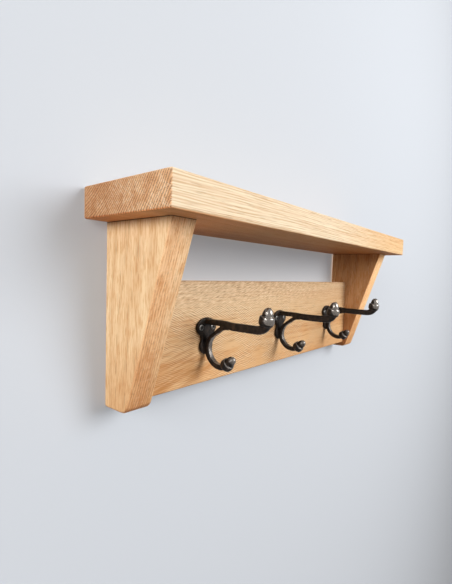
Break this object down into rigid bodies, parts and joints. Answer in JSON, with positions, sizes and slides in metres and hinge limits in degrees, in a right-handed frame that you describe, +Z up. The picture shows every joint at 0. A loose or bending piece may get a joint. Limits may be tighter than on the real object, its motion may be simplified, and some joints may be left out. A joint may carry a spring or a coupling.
{
  "type": "wall coat rack",
  "caption": "Oak wall rack: a thick shelf on tapered brackets, and a rail between them with cast-iron double hooks that end in acorns.",
  "frame": {"origin": "middle of the back of the rail, on the wall", "axes": "+X to the right as seen from the front, +Y into the wall, +Z up; the front faces -Y"},
  "size_m": [0.6, 0.1242, 0.214],
  "materials": {
    "oak": "oiled, satin",
    "beech_dowel": "bare",
    "cast_iron": "blackened and waxed, burnished on the high spots",
    "black_screw": "black oxide",
    "zinc_plate": "zinc plated"
  },
  "bodies": {
    "root": {"shelf": "oak", "hook_rail": "oak", "left_bracket": "oak", "right_bracket": "oak", "shelf_dowel_left_back": "beech_dowel", "shelf_dowel_left_front": "beech_dowel", "shelf_dowel_right_back": "beech_dowel", "shelf_dowel_right_front": "beech_dowel", "rail_dowel_left_upper": "beech_dowel", "rail_dowel_left_lower": "beech_dowel", "rail_dowel_right_upper": "beech_dowel", "rail_dowel_right_lower": "beech_dowel", "hook_1": "cast_iron", "hook_2": "cast_iron", "hook_3": "cast_iron", "hook_1_screw_left": "black_screw", "hook_1_screw_right": "black_screw", "hook_2_screw_left": "black_screw", "hook_2_screw_right": "black_screw", "hook_3_screw_left": "black_screw", "hook_3_screw_right": "black_screw", "hanger_plate_left": "zinc_plate", "hanger_plate_right": "zinc_plate", "hanger_screw_left_upper": "zinc_plate", "hanger_screw_left_lower": "zinc_plate", "hanger_screw_right_upper": "zinc_plate", "hanger_screw_right_lower": "zinc_plate"}
  },
  "joints": []
}
